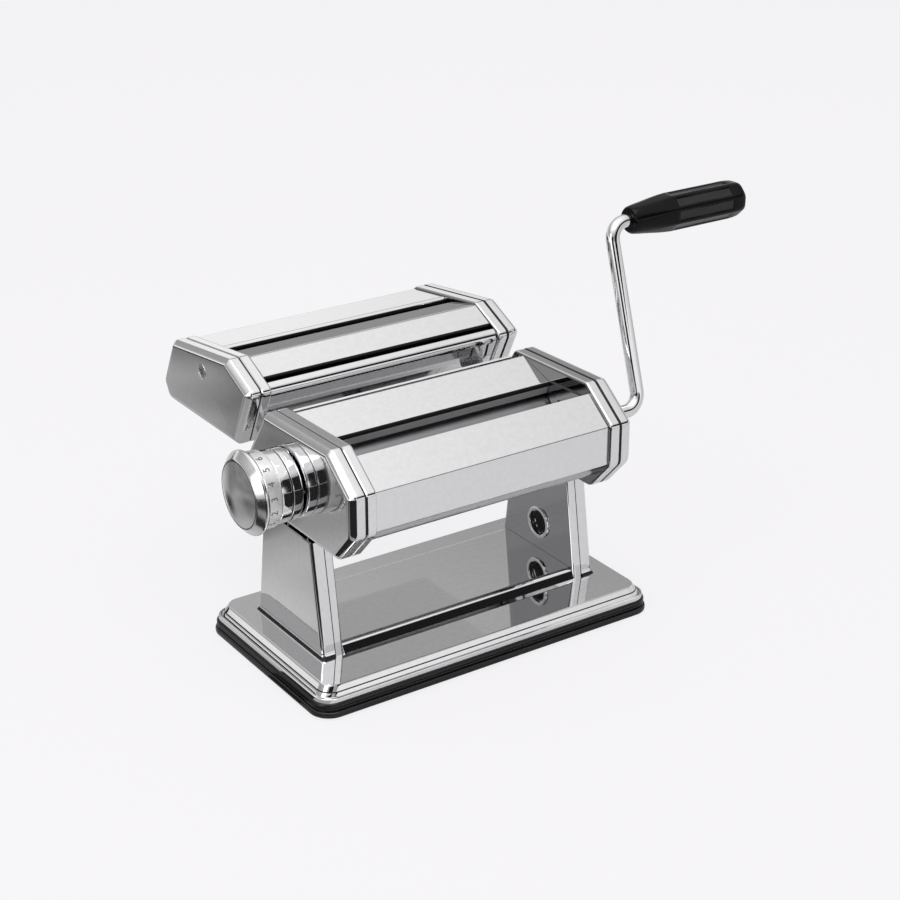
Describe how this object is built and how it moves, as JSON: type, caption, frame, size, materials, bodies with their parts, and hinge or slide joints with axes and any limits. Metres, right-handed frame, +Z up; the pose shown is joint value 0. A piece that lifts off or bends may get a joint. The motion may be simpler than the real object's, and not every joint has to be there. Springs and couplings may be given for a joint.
{
  "type": "pasta roller machine",
  "caption": "Hand-cranked pasta machine: chromed roller body on a legged stand with a thickness dial, side crank and a lift-off noodle cutter unit.",
  "frame": {"origin": "centre of the base's underside, on the table", "axes": "+X to the crank side, +Y to the cutter side, +Z up"},
  "size_m": [0.3436, 0.209, 0.2227],
  "materials": {
    "chrome": "mirror polished",
    "steel": "ground",
    "black_foot": "satin black",
    "rubber": "matt",
    "grip_plastic": "gloss black",
    "bush_plastic": "natural white",
    "gear_plastic": "cut steel",
    "dial": "satin silver"
  },
  "bodies": {
    "frame": {"base_foot": "black_foot", "rubber_pads": "rubber", "base_tray": "chrome", "stand_saddle": "chrome", "leg_shell_left": "chrome", "leg_shell_right": "chrome", "clamp_grommet": "chrome", "side_frame_left": "chrome", "side_frame_right": "chrome", "cheek_cap_left": "chrome", "cheek_cap_right": "chrome", "front_cover": "chrome", "back_guide": "chrome", "rear_cover": "chrome", "feed_end_guides": "chrome", "roller_scrapers": "bush_plastic", "tie_rods": "steel", "tie_screws": "steel", "roller_bushes": "bush_plastic", "axle_bush": "bush_plastic", "hook_pins": "steel", "cheek_cap_screws": "steel", "detent_pin": "steel"},
    "front_roller": {"front_roller": "chrome", "front_gear": "gear_plastic"},
    "crank": {"crank_rod": "chrome", "spindle_washer": "steel"},
    "grip": {"grip": "grip_plastic", "grip_end_plug": "grip_plastic"},
    "adjuster_axle": {"adjuster_axle": "steel", "axle_nut": "steel"},
    "knob": {"knob_body": "chrome", "dial_ring": "dial", "knob_cap": "chrome", "knob_spring": "steel"},
    "rear_carriage": {"roller_sleeves": "bush_plastic"},
    "rear_roller": {"rear_roller": "chrome", "rear_gear": "gear_plastic"},
    "cutter_unit": {"cutter_frame_left": "chrome", "cutter_frame_right": "chrome", "cutter_cap_left": "chrome", "cutter_cap_right": "chrome", "cutter_back_cover": "chrome", "cutter_middle_cover": "chrome", "cutter_front_cover": "chrome", "cutter_tie_rods": "steel", "cutter_tie_screws": "steel", "cutter_bushes": "bush_plastic", "cutter_cap_screws": "steel", "cutter_hook_left": "steel", "cutter_hook_right": "steel", "hook_rivets": "steel"},
    "narrow_drive": {"narrow_drive_cutter": "steel", "narrow_drive_gear": "gear_plastic"},
    "narrow_idle": {"narrow_idle_cutter": "steel", "narrow_idle_gear": "gear_plastic"},
    "wide_drive": {"wide_drive_cutter": "steel", "wide_drive_gear": "gear_plastic"},
    "wide_idle": {"wide_idle_cutter": "steel", "wide_idle_gear": "gear_plastic"}
  },
  "joints": [
    {"name": "crank_turn", "type": "hinge", "parent": "frame", "child": "front_roller", "pos_m": [0, -0.0252, 0.1105], "axis": [1, 0, 0], "continuous": true},
    {"name": "crank_pull", "type": "slide", "parent": "front_roller", "child": "crank", "axis": [1, 0, 0], "range_m": [0, 0.018]},
    {"name": "grip_spin", "type": "hinge", "parent": "crank", "child": "grip", "pos_m": [0.17, 0.00685, 0.21154], "axis": [1, 0, 0], "continuous": true},
    {"name": "dial_turn", "type": "hinge", "parent": "frame", "child": "adjuster_axle", "pos_m": [0, 0.00166, 0.10941], "axis": [-1, 0, 0], "range_deg": [0, 120]},
    {"name": "knob_pull", "type": "slide", "parent": "adjuster_axle", "child": "knob", "axis": [-1, 0, 0], "range_m": [0, 0.0045], "stiffness_N_per_m": 600, "deforming": ["knob_spring"]},
    {"name": "gap_slide", "type": "slide", "parent": "frame", "child": "rear_carriage", "axis": [0, 1, 0], "range_m": [0, 0.00252]},
    {"name": "rear_roller_turn", "type": "hinge", "parent": "rear_carriage", "child": "rear_roller", "pos_m": [0, 0.0004, 0.1105], "axis": [1, 0, 0], "continuous": true},
    {"name": "cutter_lift", "type": "slide", "parent": "frame", "child": "cutter_unit", "axis": [0, 0, 1], "range_m": [0, 0.04]},
    {"name": "narrow_cutter_turn", "type": "hinge", "parent": "cutter_unit", "child": "narrow_drive", "pos_m": [0, 0.065, 0.127], "axis": [1, 0, 0], "continuous": true},
    {"name": "narrow_idle_turn", "type": "hinge", "parent": "cutter_unit", "child": "narrow_idle", "pos_m": [0, 0.0822, 0.127], "axis": [1, 0, 0], "continuous": true},
    {"name": "wide_cutter_turn", "type": "hinge", "parent": "cutter_unit", "child": "wide_drive", "pos_m": [0, 0.1182, 0.127], "axis": [1, 0, 0], "continuous": true},
    {"name": "wide_idle_turn", "type": "hinge", "parent": "cutter_unit", "child": "wide_idle", "pos_m": [0, 0.101, 0.127], "axis": [1, 0, 0], "continuous": true}
  ],
  "couplings": [
    {"joint": "rear_roller_turn", "follows": "crank_turn", "ratio": -1},
    {"joint": "gap_slide", "follows": "dial_turn", "m_per_rad": 0.0011991},
    {"joint": "narrow_idle_turn", "follows": "narrow_cutter_turn", "ratio": -1},
    {"joint": "wide_idle_turn", "follows": "wide_cutter_turn", "ratio": -1}
  ]
}
